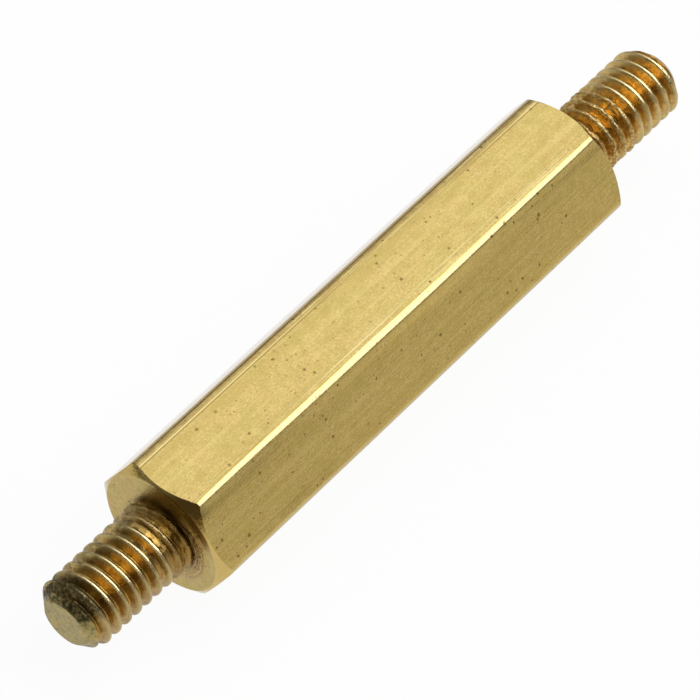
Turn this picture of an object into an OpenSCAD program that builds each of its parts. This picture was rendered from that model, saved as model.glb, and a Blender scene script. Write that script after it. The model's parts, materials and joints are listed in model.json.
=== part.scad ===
// A brass hex standoff, turned from one length of drawn hexagon bar: a hexagonal body with a
// threaded stud at each end. It lies along X on one of its flats, and the middle of that flat
// is the origin.

/* [Body] */
// Width of the hexagon across its flats
across_flats = 7; // [6:0.1:10]
// Length of the body, from shoulder to shoulder
body_l = 30; // [10:1:60]
// Radius of the bar's six long arrises
arris_r = 0.4; // [0.1:0.05:0.8]
// How far the end chamfers reach in past the middle of a flat
chamfer_in = 0.1; // [0:0.025:0.6]
// Angle of the end chamfers, measured from the end face
chamfer_slant = 38; // [15:1:45]

/* [Thread] */
// Diameter over the crests of the thread
crest_d = 3.95; // [3:0.05:4.6]
// Distance from one crest to the next
pitch = 0.7; // [0.5:0.05:1]
// Facets in one turn of the thread
turn_steps = 32; // [24:4:40]

/* [Studs] */
// Length of the stud at the -X end, from its shoulder to its tip
stud_a_l = 6.7; // [5:0.1:12]
// Length of the stud at the +X end, from its shoulder to its tip
stud_b_l = 7.4; // [5:0.1:12]
// Length of the plain shank beside the shoulder, at the -X end
shank_a_l = 0.7; // [0.4:0.1:1.5]
// Length of the plain shank beside the shoulder, at the +X end
shank_b_l = 0.5; // [0.4:0.1:1.5]
// Length over which the thread fades out into the shank, at the -X end
runout_a_l = 1.6; // [0.5:0.1:2.5]
// Length over which the thread fades out into the shank, at the +X end
runout_b_l = 0.9; // [0.5:0.1:2.5]
// How far the shanks stand proud of the crests
shank_proud = 0.03; // [0.02:0.01:0.1]
// Diameter of the flat on each tip
tip_d = 2.5; // [1:0.1:2.9]
// Angle of the chamfer on each tip, measured from the axis
tip_slant = 47; // [30:1:60]
// Where the thread starts around the stud at the -X end
start_a_turn = 306; // [0:1:359]
// Where the thread starts around the stud at the +X end
start_b_turn = 7; // [0:1:359]

/* [Hidden] */
brass = [0.80, 0.69, 0.42];
axis_z = across_flats / 2;
shank_r = crest_d / 2 + shank_proud;
// Facets in one rounded arris
arris_steps = 6;
// How far a stud reaches into the body, which makes the two one solid
stud_root = 1;

// A metric thread: 60 degree flanks, cut to 17/24 of the height of their sharp triangle
flank_slope = tan(30);
thread_depth = pitch / 2 / flank_slope * 17 / 24;
root_r = crest_d / 2 - thread_depth;
// The ridge's foot is sunk into the core, where neighbouring turns stay a little apart
ridge_sink = 0.05;
foot_gap = 0.03;
foot_w = pitch - foot_gap;
crest_w = foot_w - 2 * (thread_depth + ridge_sink) * flank_slope;
// Share of its height that the ridge starts with, and the turns it then takes to reach it all
rise_from = 0.3;
rise_turns = 0.7;

// The bar's section: a hexagon with a flat on each side of its X axis, its corners rounded
function bar_outline() =
    let (centre_r = (across_flats / 2 - arris_r) / cos(30))
    [
        for (corner = [30:60:330]) for (step = [0:arris_steps])
            let (a = corner - 30 + 60 * step / arris_steps)
            centre_r * [cos(corner), sin(corner)] + arris_r * [cos(a), sin(a)]
    ];

// What the lathe leaves of the bar: a flat ring and a cone at each end
module turned_ends() {
    outer_r = across_flats / 2 / cos(30) + 1;
    face_r = across_flats / 2 - chamfer_in;
    cone_l = (outer_r - face_r) * tan(chamfer_slant);
    rotate_extrude($fn = 96)
        polygon([
            [0, -body_l / 2],
            [face_r, -body_l / 2],
            [outer_r, cone_l - body_l / 2],
            [outer_r, body_l / 2 - cone_l],
            [face_r, body_l / 2],
            [0, body_l / 2]
        ]);
}

module body() {
    intersection() {
        linear_extrude(body_l + 2, center = true)
            polygon(bar_outline());
        turned_ends();
    }
}

// The ridge of a right-hand thread about +Z: a trapezium carried up the helix step by step. It
// starts low, inside the cone of the core, and rises out of it to its full height
module ridge(from_z, to_z) {
    foot_r = root_r - ridge_sink;
    full_h = thread_depth + ridge_sink;
    last = ceil((to_z - from_z) / pitch * turn_steps);
    points = [
        for (step = [0:last])
            let (
                turn = step / turn_steps,
                z = from_z + pitch * turn,
                around = [cos(360 * turn), sin(360 * turn)],
                foot = foot_r * around,
                top = (foot_r + full_h * min(1, rise_from + turn / rise_turns)) * around
            )
            each [
                [foot[0], foot[1], z - foot_w / 2],
                [top[0], top[1], z - crest_w / 2],
                [top[0], top[1], z + crest_w / 2],
                [foot[0], foot[1], z + foot_w / 2]
            ]
    ];
    sides = [
        for (step = [0:last - 1]) for (corner = [0:3])
            let (low = step * 4, high = low + 4, next = (corner + 1) % 4)
            [low + corner, low + next, high + next, high + corner]
    ];
    first_cap = [3, 2, 1, 0];
    last_cap = [for (corner = [0:3]) last * 4 + corner];
    polyhedron(points, concat([first_cap, last_cap], sides), convexity = 10);
}

// The core of a stud: the plain shank, the cone that the thread fades out on, and the root
module core(stud_l, shank_l, runout_l) {
    rotate_extrude($fn = 96)
        polygon([
            [0, -stud_root],
            [shank_r, -stud_root],
            [shank_r, shank_l],
            [root_r, shank_l + runout_l],
            [root_r, stud_l],
            [0, stud_l]
        ]);
}

// The chamfered end that the thread and the core are cut back to
module tip_envelope(stud_l) {
    outer_r = shank_r + 0.5;
    cone_l = (outer_r - tip_d / 2) / tan(tip_slant);
    rotate_extrude($fn = 96)
        polygon([
            [0, -stud_root],
            [outer_r, -stud_root],
            [outer_r, stud_l - cone_l],
            [tip_d / 2, stud_l],
            [0, stud_l]
        ]);
}

// A threaded stud along +Z, with its shoulder at the origin
module stud(stud_l, shank_l, runout_l, start_turn) {
    intersection() {
        union() {
            core(stud_l, shank_l, runout_l);
            rotate([0, 0, start_turn])
                ridge(shank_l + runout_l / 8, stud_l + pitch / 2);
        }
        tip_envelope(stud_l);
    }
}

module standoff() {
    color(brass)
        translate([0, 0, axis_z])
            union() {
                rotate([0, 90, 0])
                    body();
                translate([-body_l / 2, 0, 0])
                    rotate([0, -90, 0])
                        stud(stud_a_l, shank_a_l, runout_a_l, start_a_turn);
                translate([body_l / 2, 0, 0])
                    rotate([0, 90, 0])
                        stud(stud_b_l, shank_b_l, runout_b_l, start_b_turn);
            }
}

standoff();
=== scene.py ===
# %% [markdown]
# # A brass hex standoff
# This script dresses one turned part: a hexagonal brass body with a threaded stud at each end.
# Such a standoff is made on a lathe from drawn hexagon bar. The flats keep the skin of the bar,
# the shoulders and the studs are cut, and the threads are made with a die. So the piece needs
# three finishes, drawn, turned and threaded, although it is one solid.
#
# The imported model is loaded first. It is the frame that everything is measured from.

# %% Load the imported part
import json
import math

import bmesh
import bpy
from mathutils import Matrix, Vector, noise


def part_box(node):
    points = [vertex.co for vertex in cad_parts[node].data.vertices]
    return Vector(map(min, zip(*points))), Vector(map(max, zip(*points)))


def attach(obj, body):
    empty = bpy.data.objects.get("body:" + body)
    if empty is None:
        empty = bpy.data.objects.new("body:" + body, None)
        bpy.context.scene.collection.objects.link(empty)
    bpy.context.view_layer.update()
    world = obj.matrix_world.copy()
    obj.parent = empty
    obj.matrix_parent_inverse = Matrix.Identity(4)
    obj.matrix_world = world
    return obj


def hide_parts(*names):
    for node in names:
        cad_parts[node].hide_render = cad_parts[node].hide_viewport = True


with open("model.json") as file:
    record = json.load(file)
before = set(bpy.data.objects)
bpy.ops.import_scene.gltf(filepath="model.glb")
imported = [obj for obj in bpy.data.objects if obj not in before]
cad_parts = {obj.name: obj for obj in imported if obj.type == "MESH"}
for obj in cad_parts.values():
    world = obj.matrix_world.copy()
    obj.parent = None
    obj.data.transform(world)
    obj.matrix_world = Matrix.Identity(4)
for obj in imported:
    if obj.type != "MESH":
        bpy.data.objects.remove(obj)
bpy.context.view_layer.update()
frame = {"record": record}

# %% [markdown]
# ## Sizes
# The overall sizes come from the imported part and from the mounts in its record, so that the
# dressed piece follows the solid if that is changed. Only the forms that no box or mount tells,
# such as the shape of the thread, are written here, in metres.

# %% Read the sizes of the part
low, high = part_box("standoff")
mounts = {mount["name"]: mount for mount in frame["record"]["mounts"]}
across_flats = high.z - low.z
axis_z = low.z + across_flats / 2
shoulder = {"a": mounts["shoulder_a"]["pos_m"][0], "b": mounts["shoulder_b"]["pos_m"][0]}
tip = {"a": low.x, "b": high.x}
shank_r = mounts["stud_a"]["dims"]["r_mm"] / 1000
shank_l = {name: mounts["stud_" + name]["dims"]["length_mm"] / 1000 for name in "ab"}
mm = 0.001
arris_r = 0.34 * mm
chamfer_in = 0.1 * mm
chamfer_slope = math.tan(math.radians(38))
tip_r = 1.25 * mm
tip_slope = math.tan(math.radians(47))
pitch = 0.7 * mm
crest_r = 1.975 * mm
thread_depth = 0.429 * mm
root_r = crest_r - thread_depth
runout_l = {"a": 1.6 * mm, "b": 0.9 * mm}
last_groove = 0.2 * mm
torn_l = {"a": 0.8 * mm, "b": 3.2 * mm}
face_r = across_flats / 2 - chamfer_in
print("across flats %.2f mm, shoulders at %.1f and %.1f mm" % (
    across_flats / mm, shoulder["a"] / mm, shoulder["b"] / mm))

# %% [markdown]
# ## Camera
# The camera looks down on the part from its -X end, with a long lens, as for a catalogue
# picture. It is made early, because the other views turn about the part with the same lens.

# %% Place the camera
def camera_at(azimuth, elevation, distance, lens, across, up):
    """A camera that looks at the middle of the bar from that side, aimed a little off it."""
    az, el = math.radians(azimuth), math.radians(elevation)
    back = Vector((math.sin(az) * math.cos(el), -math.cos(az) * math.cos(el), math.sin(el)))
    turn = back.to_track_quat("Z", "Y")
    aim = Vector((0, 0, axis_z)) + turn @ Vector((across, up, 0))
    data = bpy.data.cameras.new("camera")
    data.lens, data.sensor_width = lens, 36
    data.clip_start, data.clip_end = 0.01, 20
    camera = bpy.data.objects.new("camera", data)
    camera.location, camera.rotation_mode = aim + back * distance, "QUATERNION"
    camera.rotation_quaternion = turn
    bpy.context.scene.collection.objects.link(camera)
    return camera


camera = camera_at(azimuth=-49.973, elevation=51.417, distance=0.22849, lens=245.12,
                   across=-0.000896, up=-0.000453)
bpy.context.scene.camera = camera
print("camera %.0f mm from the origin, lens %.0f mm" % (camera.location.length / mm, camera.data.lens))

# %% [markdown]
# ## Floor and light
# Bare metal shows what stands round it, so the light is most of the look. A strong soft box
# hangs over the near side of the part, and the crests and the middle arris mirror it. A larger
# and weaker panel overhead fills the upper flat, and a third one behind the part serves the
# views from the back. The rest of the room is dim, which gives the threads their dark bands,
# and the pale floor lights the part from below.
#
# The floor looks white in the picture and in the metal, yet keeps the part's shadow. Its shader
# is a mix: what the camera and the reflections see is mostly plain white, and the rest of it is
# the lit and shaded paint. The part gets no more light from that.

# %% Lay the floor and hang the soft box
floor_half = 4
floor_grey = 0.95
white_share = 0.95
room_grey = 0.2


def floor_plate(half):
    """A large pale floor under the part."""
    plate = bmesh.new()
    bmesh.ops.create_grid(plate, x_segments=1, y_segments=1, size=half)
    mesh = bpy.data.meshes.new("floor")
    plate.to_mesh(mesh)
    plate.free()
    floor = bpy.data.objects.new("floor", mesh)
    bpy.context.scene.collection.objects.link(floor)
    paint = bpy.data.materials.new("pale floor")
    paint.use_nodes = True
    nodes, links = paint.node_tree.nodes, paint.node_tree.links
    shader = nodes["Principled BSDF"]
    shader.inputs["Base Color"].default_value = (floor_grey,) * 3 + (1,)
    shader.inputs["Roughness"].default_value = 0.9
    shader.inputs["Specular IOR Level"].default_value = 0
    white = nodes.new("ShaderNodeEmission")
    mix = nodes.new("ShaderNodeMixShader")
    path = nodes.new("ShaderNodeLightPath")
    seen = path.outputs["Is Camera Ray"]
    for ray in ("Is Glossy Ray", "Is Transmission Ray"):
        either = nodes.new("ShaderNodeMath")
        either.operation = "MAXIMUM"
        links.new(seen, either.inputs[0])
        links.new(path.outputs[ray], either.inputs[1])
        seen = either.outputs[0]
    share = nodes.new("ShaderNodeMath")
    share.operation = "MULTIPLY"
    share.inputs[1].default_value = white_share
    links.new(seen, share.inputs[0])
    links.new(share.outputs[0], mix.inputs["Fac"])
    links.new(shader.outputs["BSDF"], mix.inputs[1])
    links.new(white.outputs["Emission"], mix.inputs[2])
    links.new(mix.outputs["Shader"], nodes["Material Output"].inputs["Surface"])
    mesh.materials.append(paint)
    return floor


def soft_box(name, direction, distance, wide, tall, radiance):
    """A rectangular lamp that faces the part from that direction."""
    data = bpy.data.lights.new(name, "AREA")
    data.shape, data.size, data.size_y = "RECTANGLE", wide, tall
    data.energy = radiance * math.pi * wide * tall
    lamp = bpy.data.objects.new(name, data)
    towards = Vector(direction).normalized()
    lamp.location = Vector((0, 0, axis_z)) + towards * distance
    lamp.rotation_mode = "QUATERNION"
    lamp.rotation_quaternion = towards.to_track_quat("Z", "Y")
    bpy.context.scene.collection.objects.link(lamp)
    return lamp


floor_plate(floor_half)
lamps = [
    soft_box("key", (0.478, -0.42, 0.77), distance=2.0, wide=1.9, tall=1.9, radiance=2.5),
    soft_box("ceiling panel", (0.478, 0.401, 0.782), distance=2.4, wide=2.4, tall=2.0, radiance=1.17),
    soft_box("back panel", (-0.55, 0.7, 0.45), distance=2.4, wide=1.6, tall=1.2, radiance=0.6),
]
world = bpy.data.worlds.new("room")
world.use_nodes = True
world.node_tree.nodes["Background"].inputs["Color"].default_value = (room_grey,) * 3 + (1,)
bpy.context.scene.world = world
bpy.context.scene.view_settings.view_transform = "Standard"
print("lamps:", ", ".join("%s %.1f W" % (lamp.name, lamp.data.energy) for lamp in lamps))

# %% [markdown]
# ## The bar
# The body is a length of drawn hexagon bar. A hexagon is extruded along X, and its six long
# arrises are bevelled, because drawn bar never has sharp corners. The sides are then divided, so
# that the lathe's curved edges on them come out smooth.

# %% Draw the bar
# A point this close to the level of the axis counts as on it. Else rounding errors would decide
# on which side of half a turn it lies, and the arris there would differ from run to run
level = 1e-5 * mm


def turned_about_axis(co):
    """Distance from the axis of the part, and angle about it."""
    up = co.z - axis_z
    if abs(up) < level:
        up = 0.0
    return math.hypot(co.y, up), math.atan2(up, co.y)


def put_on_circle(vert, radius):
    """Moves a vertex straight towards or away from the axis."""
    now = max(turned_about_axis(vert.co)[0], 1e-9)
    vert.co.y *= radius / now
    vert.co.z = axis_z + (vert.co.z - axis_z) * radius / now


# Where the rubbing starts on the top flat, and how much it takes off 1 mm further on, in mm
rub_from_y = 1.15 * mm
rub_depth = 0.15


def worn_by_handling(vert):
    """Lets an arris wander, and rubs the top flat down towards the arris on the +Y side."""
    radius, angle = turned_about_axis(vert.co)
    near = min(1, max(0, (radius - across_flats / 2 - 0.2 * mm) / (0.3 * mm)))
    which = round(math.degrees(angle) / 60)
    swing = 0.05 * noise.noise((vert.co.x * 0.16 / mm, which * 1.7, 2))
    if which == 2:
        swing += 0.09 * math.exp(-((vert.co.x - 4 * mm) / (5 * mm)) ** 2)
        narrow = 0.28 * min(1, (vert.co.x / shoulder["b"]) ** 2)
        angle -= near * narrow * (angle - math.radians(120))
    angle += near * swing * mm / radius
    vert.co.y, vert.co.z = radius * math.cos(angle), axis_z + radius * math.sin(angle)
    corner_y = across_flats / 2 * math.tan(math.radians(30))
    rubbed = max(0, min(vert.co.y, corner_y) - rub_from_y) / mm
    beyond = min(1, max(0, vert.co.y - corner_y) / (1.2 * mm))
    if vert.co.z > axis_z:
        vert.co.z -= rub_depth * rubbed ** 2 * mm * (1 - beyond * beyond * (3 - 2 * beyond))


def drawn_bar():
    """A length of hexagon bar with rounded arrises, open at both ends."""
    bar = bmesh.new()
    on_end = Matrix.Translation((shoulder["a"], 0, axis_z)) @ Matrix.Rotation(math.pi / 2, 4, "Y")
    bmesh.ops.create_circle(
        bar, segments=6, radius=across_flats / 2 / math.cos(math.radians(30)), matrix=on_end)
    grown = bmesh.ops.extrude_edge_only(bar, edges=bar.edges[:])["geom"]
    bmesh.ops.translate(bar, verts=[g for g in grown if isinstance(g, bmesh.types.BMVert)],
                        vec=(shoulder["b"] - shoulder["a"], 0, 0))
    arrises = [e for e in bar.edges if e.calc_length() > 20 * mm]
    bmesh.ops.bevel(bar, geom=arrises, offset=arris_r * math.tan(math.radians(30)),
                    offset_type="OFFSET", affect="EDGES", segments=8, profile=0.5, material=-1)
    across = [e for e in bar.edges if mm < e.calc_length() < 5 * mm]
    bmesh.ops.subdivide_edges(bar, edges=across, cuts=25, use_grid_fill=True)
    along = [e for e in bar.edges if e.calc_length() > 20 * mm]
    bmesh.ops.subdivide_edges(bar, edges=along, cuts=29, use_grid_fill=True)
    for vert in bar.verts:
        worn_by_handling(vert)
    return bar


bar = drawn_bar()
print("bar:", len(bar.verts), "vertices")

# %% [markdown]
# ## The turned ends
# On the lathe each end gets a flat shoulder with a chamfer. The chamfer is a cone, and where it
# meets the flats it leaves a shallow scallop on each. A Boolean could cut it. Here each vertex
# of the open end is moved to the cone instead, and the edge loop is then drawn in to the circle
# where the cone meets the shoulder. It gives clean rows of faces.

# %% Turn the ends of the bar
edge_break = 0.04 * mm


def turned_end(bar, end):
    """Cuts one end of the bar back to a cone and closes it as far as the flat shoulder."""
    out = 1 if end == "b" else -1
    rim = [e for e in bar.edges if e.is_boundary and e.verts[0].co.x * out > 0]
    for vert in {v for e in rim for v in e.verts}:
        proud = max(0, turned_about_axis(vert.co)[0] - face_r)
        vert.co.x = shoulder[end] - out * proud * chamfer_slope
    grown = bmesh.ops.extrude_edge_only(bar, edges=rim)["geom"]
    for vert in [g for g in grown if isinstance(g, bmesh.types.BMVert)]:
        put_on_circle(vert, face_r)
        vert.co.x = shoulder[end]
    bmesh.ops.bevel(bar, geom=rim, offset=edge_break, offset_type="OFFSET", affect="EDGES",
                    segments=3, profile=0.5, material=-1, clamp_overlap=True)


for end in "ab":
    turned_end(bar, end)
bmesh.ops.recalc_face_normals(bar, faces=bar.faces[:])
print("bar with turned ends:", len(bar.faces), "faces")

# %% [markdown]
# ## The threads
# A screw thread is one small profile carried along a helix. The profile is drawn as a few
# vertices: half a flank, the crest, a whole flank, the root and half a flank, which is exactly
# one pitch. A vertex bevel rounds its corners. Spin with a step along the axis then winds it up,
# and the turns meet edge to edge. A mesh made so has no seams and only as many faces as it needs.

# %% Wind the threads
turn_steps = 120


def one_pitch(stud, start_x, start_angle):
    """The thread's profile over one pitch, as a wire, with its crest at that place."""
    flank = thread_depth * math.tan(math.radians(30))
    crest = (pitch - 2 * flank) * 0.57
    root = pitch - 2 * flank - crest
    corners = (
        (-crest / 2 - flank / 2, crest_r - thread_depth / 2), (-crest / 2, crest_r),
        (crest / 2, crest_r), (crest / 2 + flank, root_r), (crest / 2 + flank + root, root_r),
        (pitch - crest / 2 - flank / 2, crest_r - thread_depth / 2))
    wire = [stud.verts.new((start_x + along, radius, axis_z)) for along, radius in corners]
    for first, second in zip(wire, wire[1:]):
        stud.edges.new((first, second))
    bmesh.ops.bevel(stud, geom=wire[1:3], offset=0.028 * mm, offset_type="OFFSET",
                    affect="VERTICES", segments=4, profile=0.5, material=-1)
    roots = [v for v in stud.verts if abs(v.co.y - root_r) < 1e-9]
    bmesh.ops.bevel(stud, geom=roots, offset=root * 0.45, offset_type="OFFSET",
                    affect="VERTICES", segments=4, profile=0.5, material=-1)
    flanks = [e for e in stud.edges if e.calc_length() > 0.06 * mm]
    bmesh.ops.subdivide_edges(stud, edges=flanks, cuts=2)
    bmesh.ops.rotate(stud, cent=(0, 0, axis_z), verts=stud.verts[:],
                     matrix=Matrix.Rotation(start_angle, 3, "X"))


def lathe_limit(end, x, radius):
    """The radius that the tools leave: the tip's chamfer takes off, the run-out leaves on."""
    from_tip = abs(tip[end]) - abs(x)
    from_shoulder = abs(x) - abs(shoulder[end])
    fade = (from_shoulder - shank_l[end]) / runout_l[end]
    cone = shank_r + (root_r - shank_r) * min(1, max(0, fade))
    crest = crest_r + (shank_r - crest_r) * min(1, max(0, 1 - fade))
    floor = min(cone, crest_r - last_groove)
    return min(max(radius + crest - crest_r, floor), tip_r + from_tip * tip_slope)


def torn(end, co):
    """Moves a point of a stud as the die left it: wavy, and torn where the thread runs out."""
    from_shoulder = abs(co.x) - abs(shoulder[end])
    from_tip = abs(tip[end]) - abs(co.x)
    share = 1 - 0.85 * min(1, max(0, (from_shoulder - torn_l[end]) / mm))
    share *= min(1, max(0, from_tip / (0.6 * mm)))
    radius, angle = turned_about_axis(co)
    at = Vector((co.x * 2.6, co.y * 1.9, (co.z - axis_z) * 1.9)) / mm
    moved = noise.noise(at) * 0.035 * mm + noise.noise(at * 2.3) * 0.04 * mm
    if end == "a":
        burr = max(0, math.cos(angle - math.radians(27))) ** 6 * max(0, 1 - abs(from_shoulder) / mm)
        moved += burr * (0.05 + 0.12 * noise.noise(at * 1.7)) * mm
    swing = min(1, max(0, from_shoulder / (0.3 * mm))) * share
    broad = noise.noise(at * 0.9 + Vector((7, 3, 1))) * 0.05
    aside = broad + noise.noise(at * 2.3 - Vector((4, 1, 6))) * 0.05
    return radius + moved * share, co.x + aside * mm * swing


def threaded_stud(end, crest_x, crest_angle):
    """One threaded stud, open where it meets the shoulder."""
    out = 1 if end == "b" else -1
    inner = min(abs(shoulder[end]), abs(tip[end])) - 2 * pitch
    first_x = out * inner if out > 0 else -abs(tip[end]) - 2 * pitch
    crest_x -= math.ceil((crest_x - first_x) / pitch) * pitch
    turns = math.ceil((abs(tip[end]) - inner) / pitch) + 3
    stud = bmesh.new()
    one_pitch(stud, crest_x, crest_angle)
    bmesh.ops.spin(stud, geom=stud.verts[:] + stud.edges[:], cent=(0, 0, axis_z), axis=(1, 0, 0),
                   dvec=(pitch / turn_steps, 0, 0), angle=2 * math.pi,
                   steps=turn_steps, use_merge=False, use_duplicate=False)
    first_turn = stud.verts[:] + stud.edges[:] + stud.faces[:]
    for turn in range(1, turns):
        copied = bmesh.ops.duplicate(stud, geom=first_turn)["geom"]
        bmesh.ops.translate(stud, verts=[g for g in copied if isinstance(g, bmesh.types.BMVert)],
                            vec=(turn * pitch, 0, 0))
    bmesh.ops.remove_doubles(stud, verts=stud.verts[:], dist=0.002 * mm)
    for vert in stud.verts:
        put_on_circle(vert, lathe_limit(end, vert.co.x, turned_about_axis(vert.co)[0]))
    for place, side in ((shoulder[end], -out), (tip[end], out)):
        bmesh.ops.bisect_plane(stud, geom=stud.verts[:] + stud.edges[:] + stud.faces[:],
                               dist=1e-8, plane_co=(place, 0, 0), plane_no=(side, 0, 0),
                               clear_outer=True)
    for vert in stud.verts:
        radius, along = torn(end, vert.co)
        put_on_circle(vert, radius)
        vert.co.x = along
    rim = [e for e in stud.edges if e.is_boundary and abs(e.verts[0].co.x - tip[end]) < 1e-7]
    bmesh.ops.edgeloop_fill(stud, edges=rim)
    bmesh.ops.recalc_face_normals(stud, faces=stud.faces[:])
    return stud


# Each helix passes through the place of one crest, both at the same angle round the axis
crest_angle = math.radians(117.15)
crest_place = {"a": -18.752 * mm, "b": 19.502 * mm}
studs = {end: threaded_stud(end, crest_place[end], crest_angle) for end in "ab"}
for end, stud in studs.items():
    print("stud", end, "has", len(stud.faces), "faces")

# %% [markdown]
# ## One solid
# The studs are joined to the bar by bridging the open edge of each stud with the rim of its
# shoulder. The bridge is the flat shoulder itself.

# %% Join the studs to the bar
def take_in(whole, part):
    """Copies one bmesh into another and frees it."""
    held = bpy.data.meshes.new("held")
    part.to_mesh(held)
    part.free()
    whole.from_mesh(held)
    bpy.data.meshes.remove(held)


for end, stud in studs.items():
    take_in(bar, stud)
    rims = [e for e in bar.edges if e.is_boundary
            and all(abs(v.co.x - shoulder[end]) < 1e-6 for v in e.verts)]
    bmesh.ops.bridge_loops(bar, edges=rims)
bmesh.ops.recalc_face_normals(bar, faces=bar.faces[:])
print("open edges left:", sum(1 for e in bar.edges if not e.is_manifold))
print("volume %.1f mm3" % (bar.calc_volume(signed=True) / mm ** 3))

# %% [markdown]
# ## Which tool left each face
# The bar's own skin is drawn, the shoulders, chamfers and tips are turned, and the rest of the
# studs is threaded. The place and the slope of a face tell them apart, so nothing is picked by
# hand. An edge is shaded sharp where its faces meet at more than a small angle.

# %% Choose what each face was made by
DRAWN, TURNED, THREADED = 0, 1, 2
smooth_limit = {DRAWN: math.radians(12), TURNED: math.radians(12), THREADED: math.radians(35)}
for face in bar.faces:
    middle = face.calc_center_median()
    past = abs(middle.x) - abs(shoulder["b"])
    end = "b" if middle.x > 0 else "a"
    envelope = tip_r + (abs(tip[end]) - abs(middle.x)) * tip_slope
    faced = abs(face.normal.x) > 0.99
    if past > 1e-6 and not faced and turned_about_axis(middle)[0] < envelope - 0.01 * mm:
        face.material_index = THREADED
    elif past > 1e-6:
        face.material_index = TURNED
    elif abs(face.normal.x) > 0.3:
        face.material_index = TURNED
    face.smooth = True
for edge in bar.edges:
    limit = min(smooth_limit[f.material_index] for f in edge.link_faces)
    edge.smooth = edge.calc_face_angle(0) < limit
for name, index in (("drawn", DRAWN), ("turned", TURNED), ("threaded", THREADED)):
    print(name, "faces:", sum(1 for face in bar.faces if face.material_index == index))

# %% [markdown]
# ## The piece
# The mesh becomes one object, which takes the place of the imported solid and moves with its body.

# %% Make the piece
mesh = bpy.data.meshes.new("standoff_brass")
bar.to_mesh(mesh)
bar.free()
piece = bpy.data.objects.new("standoff_brass", mesh)
bpy.context.scene.collection.objects.link(piece)
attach(piece, "root")
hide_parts("standoff")
print("triangles:", sum(len(p.vertices) - 2 for p in mesh.polygons))

# %% [markdown]
# ## Patterns for the finishes
# Each pattern is a small node group that takes a position in millimetres, measured from the axis
# of the part, and gives a mask or a height. The groups hold no colour and no gloss, so any
# finish can use them, at the true scale of the marks on the metal.

# %% Helpers for nodes
def node(tree, kind, sockets=(), **settings):
    """Adds a node. Each socket takes a value or the output of another node."""
    made = tree.nodes.new("ShaderNode" + kind)
    for name, value in settings.items():
        setattr(made, name, value)
    for socket, value in dict(sockets).items():
        if isinstance(value, bpy.types.NodeSocket):
            tree.links.new(value, made.inputs[socket])
        else:
            made.inputs[socket].default_value = value
    return made


def sum_of(tree, operation, first, second=0.0):
    """One step of arithmetic, as the socket with its result."""
    return node(tree, "Math", {0: first, 1: second}, operation=operation).outputs[0]


def times(tree, first, *others):
    """The product of all the values."""
    for other in others:
        first = sum_of(tree, "MULTIPLY", first, other)
    return first


def rest_of(tree, share):
    """What a share leaves of 1."""
    return sum_of(tree, "SUBTRACT", 1.0, share)


def step(tree, value, low, high):
    """A soft step from 0 to 1 as the value goes from low to high."""
    return node(tree, "MapRange", {"Value": value, "From Min": low, "From Max": high},
                interpolation_type="SMOOTHSTEP").outputs["Result"]


def blend(tree, share, first, second):
    """Mixes two colours, as the socket with the result."""
    made = node(tree, "Mix", data_type="RGBA")
    for index, value in ((0, share), (6, first), (7, second)):
        if isinstance(value, bpy.types.NodeSocket):
            tree.links.new(value, made.inputs[index])
        else:
            made.inputs[index].default_value = value
    return made.outputs[2]


def lay_colour_over(tree, colour, where_seen, second_colour, strength):
    """Lays a second colour over the first, where the mask says and at that strength. It lays stains and
    also painted highlight and shade.
    """
    return blend(tree, times(tree, where_seen, strength), colour, second_colour)


def pattern(name, inputs, outputs):
    """A new node group, with the node for its inputs and the one for its outputs."""
    group = bpy.data.node_groups.new(name, "ShaderNodeTree")
    for socket, start in {"Position": None, **inputs}.items():
        kind = "NodeSocketVector" if start is None else "NodeSocketFloat"
        made = group.interface.new_socket(name=socket, in_out="INPUT", socket_type=kind)
        if start is not None:
            made.default_value = start
    for socket in outputs:
        group.interface.new_socket(name=socket, in_out="OUTPUT", socket_type="NodeSocketFloat")
    return group, group.nodes.new("NodeGroupInput").outputs, group.nodes.new("NodeGroupOutput").inputs


def use(tree, group, position, **values):
    """Puts a pattern into a finish, as its outputs."""
    made = node(tree, "Group", node_tree=group)
    tree.links.new(position, made.inputs["Position"])
    for name, value in values.items():
        made.inputs[name.replace("_", " ")].default_value = value
    return made.outputs


# %% [markdown]
# ### Where a point lies
# Wear, dirt and the painted light and shade depend on the place on the part. This group tells how
# far a point is from the axis and from the middle of its flat, how far it is past a shoulder, and which
# way it faces.

# %% Make the group that tells the place
place, given, result = pattern("place on the bar", {}, ("Radius", "Side", "Along", "Past", "Up", "Aside"))
split = node(place, "SeparateXYZ", {0: given["Position"]}).outputs
squares = [sum_of(place, "MULTIPLY", split[axis], split[axis]) for axis in "YZ"]
square = sum_of(place, "ADD", *squares)
flat_square = (across_flats / 2 / mm) ** 2
side = sum_of(place, "SQRT", sum_of(place, "MAXIMUM", sum_of(place, "SUBTRACT", square, flat_square), 0.0))
radius = sum_of(place, "SQRT", square)
for name, value in (("Radius", radius), ("Side", side), ("Along", split["X"]),
                    ("Past", sum_of(place, "SUBTRACT", sum_of(place, "ABSOLUTE", split["X"]),
                                    shoulder["b"] / mm)),
                    ("Up", sum_of(place, "DIVIDE", split["Z"], radius)),
                    ("Aside", sum_of(place, "DIVIDE", split["Y"], radius))):
    place.links.new(value, result[name])

# %% [markdown]
# ### Drawing lines
# The die leaves fine lines along the bar. They are noise that is stretched along X: broad
# waves, and scratches that come and go.

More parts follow.
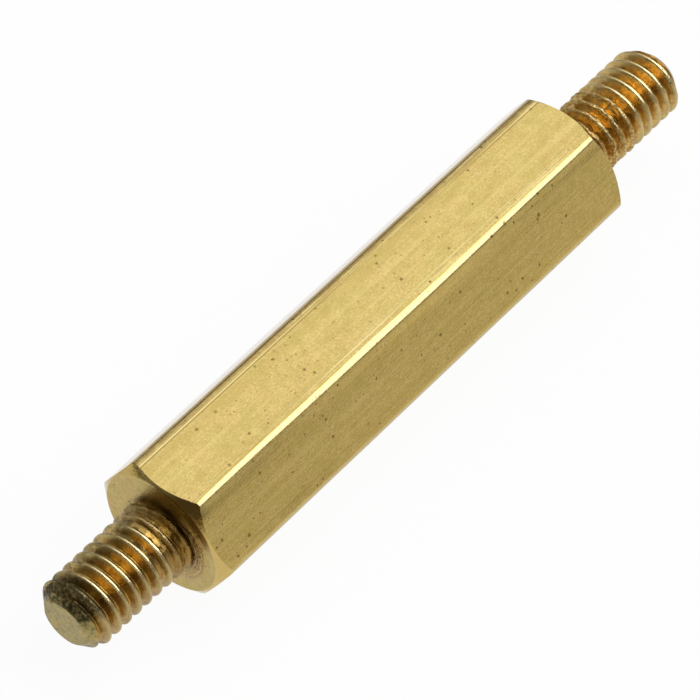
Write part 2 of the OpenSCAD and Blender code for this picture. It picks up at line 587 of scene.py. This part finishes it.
# %% Make the drawing lines
lines, given, result = pattern("drawing lines", {}, ("Waves", "Scratches", "Grain", "Scored"))
for name, stretch, detail in (("Waves", (0.045, 2.2, 2.2), 3), ("Scratches", (0.16, 13, 13), 2),
                              ("Grain", (6.5, 10, 10), 3), ("Scored", (9, 0.8, 0.8), 3)):
    drawn_out = node(lines, "Mapping", {"Vector": given["Position"], "Scale": stretch})
    streaks = node(lines, "TexNoise", {"Vector": drawn_out.outputs[0], "Scale": 1.0, "Detail": detail,
                                       "Roughness": 0.6})
    lines.links.new(streaks.outputs[0], result[name])

# %% [markdown]
# ### Pits
# Small pits lie where the metal was porous or dirt was rolled in. A cell pattern gives each cell
# one point. Only a share of the cells gets a pit, and noise bends them out of round.

# %% Make the pits
pits, given, result = pattern("pits", {"Cell": 0.6, "Size": 0.1, "Share": 0.3}, ("Pits",))
bent = node(pits, "TexNoise", {"Vector": given["Position"], "Scale": 9.0, "Detail": 1.0})
bend = node(pits, "VectorMath", {0: bent.outputs["Color"], "Scale": 0.09}, operation="SCALE")
moved = node(pits, "VectorMath", {0: given["Position"], 1: bend.outputs[0]}, operation="ADD")
cells = node(pits, "TexVoronoi", {"Vector": moved.outputs[0],
                                  "Scale": sum_of(pits, "DIVIDE", 1.0, given["Cell"])})
distance = sum_of(pits, "MULTIPLY", cells.outputs["Distance"], given["Cell"])
tint = node(pits, "SeparateColor", {0: cells.outputs["Color"]}).outputs
own_size = sum_of(pits, "MULTIPLY", given["Size"], sum_of(pits, "ADD", tint["Green"], 0.3))
inside = sum_of(pits, "SUBTRACT", 1.0, sum_of(pits, "SMOOTH_MIN", sum_of(
    pits, "DIVIDE", distance, own_size), 1.0))
chosen = sum_of(pits, "LESS_THAN", tint["Red"], given["Share"])
pits.links.new(sum_of(pits, "MULTIPLY", inside, chosen), result["Pits"])

# %% [markdown]
# ### Mottling
# Handled brass is never one colour. This is soft cloud at two scales.

# %% Make the mottling
mottle, given, result = pattern("mottling", {"Scale": 1.0}, ("Clouds", "Specks"))
for name, finer, detail in (("Clouds", 1.0, 4), ("Specks", 6.0, 3)):
    cloud = node(mottle, "TexNoise", {"Vector": given["Position"], "Detail": detail, "Roughness": 0.62,
                                      "Scale": sum_of(mottle, "MULTIPLY", given["Scale"], finer)})
    mottle.links.new(cloud.outputs[0], result[name])

# %% [markdown]
# ### Tool rings
# A facing cut leaves rings round the axis. They are noise over the radius, which drifts a little
# on the way round.

# %% Make the tool rings
rings, given, result = pattern("tool rings", {"Fineness": 12.0}, ("Rings",))
split = node(rings, "SeparateXYZ", {0: given["Position"]}).outputs
squares = [sum_of(rings, "MULTIPLY", split[axis], split[axis]) for axis in "YZ"]
radius = sum_of(rings, "SQRT", sum_of(rings, "ADD", *squares))
drift = node(rings, "Mapping", {"Vector": given["Position"], "Scale": (0.35, 0.35, 0.35)})
spread = node(rings, "CombineXYZ", {"X": sum_of(rings, "MULTIPLY", radius, given["Fineness"])})
wound = node(rings, "VectorMath", {0: drift.outputs[0], 1: spread.outputs[0]}, operation="ADD")
turned = node(rings, "TexNoise", {"Vector": wound.outputs[0], "Scale": 1.0, "Detail": 3.0})
rings.links.new(turned.outputs[0], result["Rings"])
print("patterns:", ", ".join(group.name for group in bpy.data.node_groups))

# %% [markdown]
# ## The three finishes
# All are bare brass, a metal with a warm yellow reflection. What differs is what its surface
# has been through. Colours are what the metal reflects straight on, except for the painted
# highlight, shade and reflection noted where they are laid. The heights are in metres,
# so the marks are as deep as real ones: a few thousandths of a millimetre.

# %% A plain metal to start from
def bare_metal(name, roughness):
    """A material with its shader and the position on the part in mm, measured from the axis."""
    finish = bpy.data.materials.new(name)
    finish.use_nodes = True
    tree = finish.node_tree
    shader = tree.nodes["Principled BSDF"]
    shader.inputs["Metallic"].default_value = 1
    shader.inputs["Roughness"].default_value = roughness
    in_mm = node(tree, "Mapping", {"Vector": node(tree, "TexCoord").outputs["Object"],
                                   "Scale": (1 / mm,) * 3, "Location": (0, 0, -axis_z / mm)})
    return finish, tree, shader, in_mm.outputs[0]


def relief(tree, height, depth, under=None):
    """A bump of that depth in metres, on top of another one."""
    sockets = {"Height": height, "Distance": depth, "Strength": 1.0}
    if under is not None:
        sockets["Normal"] = under
    return node(tree, "Bump", sockets).outputs[0]


# %% [markdown]
# ### Drawn brass
# The skin of the bar is satin. It is yellow with greener and pinker clouds, has small dark pits
# that come in swarms, and shows the die's lines beside the arrises of the top flat, where the bar
# rubbed hardest. The +Y side was rubbed smoother, and its upper arris is rounded, with brown
# patches painted over it and over the +Y side as shade. The -Y side flat is painted a deeper,
# warmer tone for the light it takes, and a scored line on the top flat is painted with a
# highlight beside shade.

# %% Finish the drawn brass
drawn, tree, shader, at = bare_metal("drawn brass", 0.32)
where = use(tree, place, at)
marks = use(tree, lines, at)
cloud = use(tree, mottle, at, Scale=0.7)
small = use(tree, mottle, at, Scale=2.6)
holes = use(tree, pits, at, Cell=0.5, Size=0.098, Share=0.62)["Pits"]
dots = use(tree, pits, at, Cell=0.22, Size=0.062, Share=0.6)["Pits"]
on_top = step(tree, where["Up"], 0.84, 0.88)
near_arris = times(tree, step(tree, where["Side"], 1.3, 1.55), step(tree, where["Side"], 1.88, 1.8))
near_arris = times(tree, near_arris, on_top)
on_arris = step(tree, where["Side"], 1.82, 1.92)
polished = step(tree, where["Aside"], 0.54, 0.60)
colour = blend(
    tree, step(tree, cloud["Clouds"], 0.38, 0.62), (0.525, 0.41, 0.125, 1), (0.57, 0.405, 0.145, 1))
colour = lay_colour_over(tree, colour, step(tree, small["Clouds"], 0.35, 0.7), (0.6, 0.46, 0.165, 1), 0.7)
colour = lay_colour_over(tree, colour, step(tree, small["Specks"], 0.5, 0.64), (0.63, 0.43, 0.2, 1), 0.55)
colour = lay_colour_over(tree, colour, step(tree, small["Specks"], 0.5, 0.36), (0.43, 0.365, 0.1, 1), 0.5)
colour = lay_colour_over(tree, colour, step(tree, marks["Grain"], 0.5, 0.36), (0.4, 0.28, 0.08, 1), 0.42)
colour = lay_colour_over(tree, colour, step(tree, marks["Grain"], 0.52, 0.66), (0.72, 0.61, 0.28, 1), 0.45)
patchy = use(tree, mottle, at, Scale=1.5)
colour = lay_colour_over(tree, colour, step(tree, patchy["Clouds"], 0.52, 0.36), (0.44, 0.335, 0.1, 1), 0.4)
colour = lay_colour_over(tree, colour, step(tree, patchy["Clouds"], 0.55, 0.68), (0.66, 0.52, 0.19, 1), 0.4)
colour = lay_colour_over(tree, colour, step(tree, marks["Waves"], 0.5, 0.34), (0.45, 0.34, 0.1, 1), 0.4)
colour = lay_colour_over(tree, colour, step(tree, marks["Waves"], 0.52, 0.66), (0.66, 0.52, 0.2, 1), 0.4)
# Painted shade: brown patches on the upper +Y arris and the +Y side, away from the light
brown_shade = times(tree, step(tree, where["Aside"], 0.34, 0.45), step(tree, small["Clouds"], 0.2, 0.6))
colour = lay_colour_over(tree, colour, brown_shade, (0.36, 0.235, 0.08, 1), 0.7)
# Painted shade: a deeper, warmer tone on the -Y side flat for how the light falls on it
low_side = step(tree, where["Aside"], -0.5, -0.6)
colour = lay_colour_over(tree, colour, low_side, (0.62, 0.41, 0.1, 1), 0.35)
worn = blend(
    tree, step(tree, small["Specks"], 0.4, 0.6), (0.46, 0.37, 0.19, 1), (0.6, 0.49, 0.28, 1))
colour = blend(tree, on_arris, colour, worn)
scratch = step(tree, marks["Scratches"], 0.52, 0.70)
colour = blend(
    tree, times(tree, scratch, times(tree, near_arris, 0.4)), colour, (0.36, 0.26, 0.09, 1))
shine = times(tree, step(tree, marks["Scratches"], 0.48, 0.34), near_arris)
colour = lay_colour_over(tree, colour, shine, (0.78, 0.66, 0.32, 1), 0.7)
# A scored line on the +Y half of the top flat, with a painted highlight on one side of it and painted
# shade on the other
score = times(
    tree, on_top, step(tree, where["Aside"], 0.2, 0.3), step(tree, marks["Waves"], 0.38, 0.5))
light = times(tree, step(tree, where["Side"], 1.44, 1.47), step(tree, where["Side"], 1.51, 1.48))
dark = times(tree, step(tree, where["Side"], 1.37, 1.4), step(tree, where["Side"], 1.45, 1.42))
colour = blend(tree, times(tree, light, score), colour, (0.8, 0.68, 0.32, 1))
colour = blend(tree, times(tree, dark, score), colour, (0.34, 0.24, 0.07, 1))
swarm = times(tree, step(tree, dots, 0.0, 0.5), step(tree, cloud["Clouds"], 0.5, 0.58))
colour = lay_colour_over(tree, colour, swarm, (0.3, 0.2, 0.065, 1), 0.7)
colour = lay_colour_over(tree, colour, step(tree, holes, 0.0, 0.6), (0.2, 0.125, 0.035, 1), 0.85)
tree.links.new(colour, shader.inputs["Base Color"])
gloss = sum_of(tree, "ADD", 0.19, times(tree, small["Specks"], 0.18))
gloss = sum_of(
    tree, "SUBTRACT", gloss, times(tree, on_arris, step(tree, where["Aside"], 0.0, -0.2), 0.1))
gloss = sum_of(tree, "SUBTRACT", gloss, times(tree, polished, 0.2))
tree.links.new(gloss, shader.inputs["Roughness"])
depth_share = sum_of(tree, "ADD", 0.35, near_arris)
quiet = rest_of(
    tree, sum_of(tree, "MAXIMUM", times(tree, polished, 0.95), times(tree, on_arris, 0.85)))
depth_share = times(tree, depth_share, quiet)
skin = relief(tree, times(tree, marks["Waves"], depth_share), 0.02 * mm)
skin = relief(tree, times(tree, marks["Scratches"], depth_share), 0.004 * mm, skin)
skin = relief(tree, times(tree, small["Clouds"], quiet), 0.005 * mm, skin)
skin = relief(tree, times(tree, marks["Grain"], quiet), 0.004 * mm, skin)
skin = relief(tree, times(tree, holes, -1.0), 0.006 * mm, skin)
tree.links.new(skin, shader.inputs["Normal"])
print("drawn brass:", len(tree.nodes), "nodes")

# %% [markdown]
# ### Turned brass
# The shoulders and the tips are cut metal that has gone dull. The chamfers are smoother than
# the faces, and their upper -Y part is painted dark brown as a reflection. Rings run round the
# shoulder, rough close to the stud on the -Y side, where the tool dwelt; the dark there is a
# painted reflection of the stud. The corner round the stud is speckled darker, and dirt stays on
# the chamfer of the -X tip.

# %% Finish the turned brass
turned, tree, shader, at = bare_metal("turned brass", 0.3)
where = use(tree, place, at)
ring = use(tree, rings, at, Fineness=9)["Rings"]
cloud = use(tree, mottle, at, Scale=1.1)
patch = use(tree, mottle, at, Scale=2.4)
grit = use(tree, mottle, at, Scale=5)["Clouds"]
holes = use(tree, pits, at, Cell=0.5, Size=0.075, Share=0.45)["Pits"]
facet = step(tree, where["Radius"], face_r / mm - 0.15, face_r / mm + 0.02)
on_tip = step(tree, where["Past"], 0.3, 0.6)
on_shoulder = rest_of(tree, on_tip)
close = times(tree, step(tree, where["Radius"], 3.0, 2.4), step(tree, where["Aside"], -0.3, -0.75))
close = times(tree, close, on_shoulder)
corner = times(tree, step(tree, where["Radius"], 2.35, 2.0), on_shoulder)
colour = blend(
    tree, step(tree, cloud["Clouds"], 0.4, 0.62), (0.425, 0.32, 0.087, 1), (0.455, 0.31, 0.095, 1))
colour = blend(tree, step(tree, patch["Clouds"], 0.35, 0.75), colour, (0.5, 0.38, 0.12, 1))
colour = lay_colour_over(tree, colour, step(tree, grit, 0.48, 0.34), (0.31, 0.22, 0.065, 1), 0.45)
colour = lay_colour_over(tree, colour, step(tree, grit, 0.53, 0.67), (0.58, 0.45, 0.17, 1), 0.45)
# Painted reflection: the upper -Y part of the chamfers is painted dark brown, as a dark reflection
colour = blend(
    tree,
    times(tree, facet, times(tree, step(tree, where["Up"], 0.5, 0.8),
                             step(tree, where["Aside"], 0.0, -0.35))),
    colour, (0.24, 0.135, 0.03, 1))
colour = blend(
    tree, times(tree, on_tip, step(tree, patch["Clouds"], 0.25, 0.65)), colour,
    (0.34, 0.28, 0.125, 1))
colour = blend(
    tree, times(tree, on_tip, step(tree, grit, 0.5, 0.38)), colour, (0.26, 0.215, 0.095, 1))
# Next to the stud on the -Y side: brown tool rings, and dark grit painted as the stud's reflection
colour = blend(
    tree, times(tree, close, step(tree, ring, 0.42, 0.58)), colour, (0.42, 0.22, 0.06, 1))
colour = blend(
    tree, times(tree, close, step(tree, grit, 0.46, 0.34)), colour, (0.15, 0.085, 0.03, 1))
colour = blend(
    tree, times(tree, facet, on_shoulder, times(tree, step(tree, where["Aside"], -0.7, -0.9), 0.6)),
    colour, (0.64, 0.46, 0.16, 1))
# Darker specks in the corner round the stud
corner_specks = times(tree, step(tree, patch["Specks"], 0.62, 0.42), 0.6)
colour = blend(tree, times(tree, corner, corner_specks), colour, (0.14, 0.09, 0.03, 1))
above = sum_of(tree, "ADD", where["Aside"], times(tree, patch["Clouds"], 0.9))
soot = times(
    tree, step(tree, where["Radius"], 1.15, 1.4), on_tip, step(tree, where["Along"], 0.0, -1.0))
soot = times(tree, soot, step(tree, above, -0.55, -0.15))
soot = times(tree, soot, step(tree, patch["Clouds"], 0.25, 0.5))
crust = blend(tree, step(tree, grit, 0.46, 0.66), (0.035, 0.032, 0.01, 1), (0.36, 0.28, 0.12, 1))
colour = lay_colour_over(tree, colour, soot, crust, 0.92)
colour = lay_colour_over(tree, colour, step(tree, holes, 0.0, 0.6), (0.13, 0.08, 0.03, 1), 0.8)
tree.links.new(colour, shader.inputs["Base Color"])
gloss = sum_of(tree, "ADD", 0.25, times(tree, cloud["Specks"], 0.14))
gloss = sum_of(tree, "SUBTRACT", gloss, times(tree, facet, 0.15))
gloss = sum_of(tree, "ADD", gloss, times(tree, on_tip, 0.08))
tree.links.new(gloss, shader.inputs["Roughness"])
cut = relief(tree, ring, 0.008 * mm)
cut = relief(tree, times(tree, ring, patch["Clouds"], close), 0.3 * mm, cut)
cut = relief(tree, cloud["Specks"], 0.006 * mm, cut)
cut = relief(tree, grit, 0.008 * mm, cut)
cut = relief(tree, times(tree, holes, -1.0), 0.02 * mm, cut)
tree.links.new(cut, shader.inputs["Normal"])
print("turned brass:", len(tree.nodes), "nodes")

# %% [markdown]
# ### Threaded brass
# The die tears the metal a little, so the flanks are rough and patchy. Cutting oil has stained
# them copper, most of all deep in the grooves. The crests are rubbed bright, and a painted
# highlight makes them brightest in the band on the -Y side that faces the key light, while a band
# further round on the -Y side is painted darker as shade. Dirt sits where the thread runs out,
# and in the first turns at the -X tip.

# %% Finish the threaded brass
threaded, tree, shader, at = bare_metal("threaded brass", 0.3)
where = use(tree, place, at)
cloud = use(tree, mottle, at, Scale=1.9)
fine = use(tree, mottle, at, Scale=4.2)
scored = use(tree, lines, at)["Scored"]
flakes = use(tree, mottle, at, Scale=7)["Clouds"]
holes = use(tree, pits, at, Cell=0.36, Size=0.065, Share=0.35)["Pits"]
run_out = step(tree, where["Past"], 1.6, 0.7)
rubbed = step(tree, where["Radius"], (crest_r - 0.07 * mm) / mm, (crest_r - 0.02 * mm) / mm)
crest = times(tree, rubbed, rest_of(tree, times(tree, run_out, 0.92)))
# Painted highlight: the crests are made brightest in the band on the -Y side where the key light falls
# square on them, and rougher outside it
highlight_band = times(
    tree, step(tree, where["Aside"], 0.15, -0.15), step(tree, where["Aside"], -0.85, -0.62))
crest = times(tree, crest, sum_of(tree, "ADD", 0.2, times(tree, highlight_band, 0.8)))
broken = times(tree, step(tree, where["Past"], 3.9, 3.1), step(tree, where["Along"], -1.0, 1.0))
torn_top = times(tree, broken, step(tree, where["Radius"], crest_r / mm - 0.2, crest_r / mm - 0.1))
broken = times(tree, broken, step(tree, flakes, 0.58, 0.48))
crest = times(tree, crest, rest_of(tree, times(tree, broken, 0.85)))
outer = step(tree, where["Radius"], crest_r / mm - 0.28, crest_r / mm - 0.02)
root = step(tree, where["Radius"], (root_r + 0.12 * mm) / mm, (root_r + 0.02 * mm) / mm)
colour = blend(
    tree, step(tree, cloud["Clouds"], 0.4, 0.6), (0.43, 0.24, 0.055, 1), (0.66, 0.41, 0.105, 1))
colour = blend(tree, step(tree, fine["Clouds"], 0.5, 0.7), colour, (0.66, 0.42, 0.14, 1))
colour = lay_colour_over(tree, colour, step(tree, fine["Clouds"], 0.47, 0.33), (0.22, 0.12, 0.035, 1), 0.5)
colour = lay_colour_over(tree, colour, outer, (0.54, 0.435, 0.19, 1), 0.75)
colour = lay_colour_over(tree, colour, root, (0.68, 0.43, 0.1, 1), 0.6)
colour = lay_colour_over(tree, colour, run_out, (0.44, 0.25, 0.04, 1), 0.8)
colour = lay_colour_over(tree, colour, step(tree, where["Aside"], -0.3, 0.3), (0.72, 0.56, 0.25, 1), 0.32)
near_stud = step(tree, where["Along"], 1.0, -1.0)
colour = lay_colour_over(tree, colour, near_stud, (0.14, 0.085, 0.02, 1), 0.34)
ragged = blend(tree, step(tree, flakes, 0.44, 0.58), (0.4, 0.24, 0.065, 1), (0.76, 0.54, 0.2, 1))
colour = lay_colour_over(tree, colour, torn_top, ragged, 0.8)
colour = lay_colour_over(tree, colour, step(tree, scored, 0.52, 0.38), (0.24, 0.15, 0.045, 1), 0.4)
# Painted shade: a band further round on the -Y side is darkened where the threads face the dim room
shade_band = times(
    tree, step(tree, where["Aside"], -0.5, -0.65), step(tree, where["Aside"], -0.92, -0.82))
colour = lay_colour_over(tree, colour, shade_band, (0.16, 0.09, 0.03, 1), 0.3)
# The crest colour: rubbed bright, plus the painted highlight of that band
colour = blend(tree, crest, colour, (0.72, 0.6, 0.34, 1))
oily = times(tree, step(tree, cloud["Clouds"], 0.58, 0.45), step(tree, where["Aside"], -0.35, 0.5))
oily = times(tree, oily, step(tree, where["Along"], 1.0, -1.0))
colour = lay_colour_over(tree, colour, oily, (0.15, 0.12, 0.04, 1), 0.6)
above = sum_of(tree, "ADD", where["Aside"], times(tree, cloud["Clouds"], 0.9))
first_turns = times(
    tree, step(tree, where["Along"], tip["a"] / mm + 1.5, tip["a"] / mm + 1.05),
    step(tree, above, -0.55, -0.15))
first_turns = times(tree, first_turns, step(tree, fine["Clouds"], 0.2, 0.45))
crust = blend(
    tree, step(tree, fine["Clouds"], 0.45, 0.64), (0.03, 0.026, 0.009, 1), (0.2, 0.145, 0.055, 1))
colour = lay_colour_over(tree, colour, first_turns, crust, 0.92)
colour = lay_colour_over(tree, colour, step(tree, holes, 0.0, 0.6), (0.12, 0.06, 0.02, 1), 0.8)
tree.links.new(colour, shader.inputs["Base Color"])
gloss = sum_of(tree, "ADD", 0.1, times(tree, cloud["Specks"], 0.2))
gloss = sum_of(tree, "ADD", gloss, times(tree, rest_of(tree, highlight_band), 0.16))
gloss = sum_of(tree, "ADD", gloss, times(tree, run_out, 0.08))
gloss = sum_of(tree, "ADD", gloss, times(tree, first_turns, 0.25))
gloss = sum_of(tree, "ADD", gloss, times(tree, torn_top, 0.12))
tree.links.new(gloss, shader.inputs["Roughness"])
rough_share = sum_of(tree, "ADD", 1.0, times(tree, run_out, 1.0))
tear = relief(tree, times(tree, cloud["Clouds"], rough_share), 0.035 * mm)
tear = relief(tree, times(tree, cloud["Specks"], rough_share), 0.008 * mm, tear)
tear = relief(tree, times(tree, flakes, sum_of(tree, "ADD", 0.25, torn_top)), 0.024 * mm, tear)
tear = relief(
    tree, times(tree, scored, sum_of(tree, "ADD", times(tree, torn_top, 1.5), rough_share)),
    0.012 * mm, tear)
tear = relief(tree, times(tree, holes, -1.0), 0.02 * mm, tear)
tree.links.new(tear, shader.inputs["Normal"])
print("threaded brass:", len(tree.nodes), "nodes")

# %% Give the piece its finishes
for finish in (drawn, turned, threaded):
    mesh.materials.append(finish)
print("finishes:", ", ".join(finish.name for finish in (drawn, turned, threaded)))
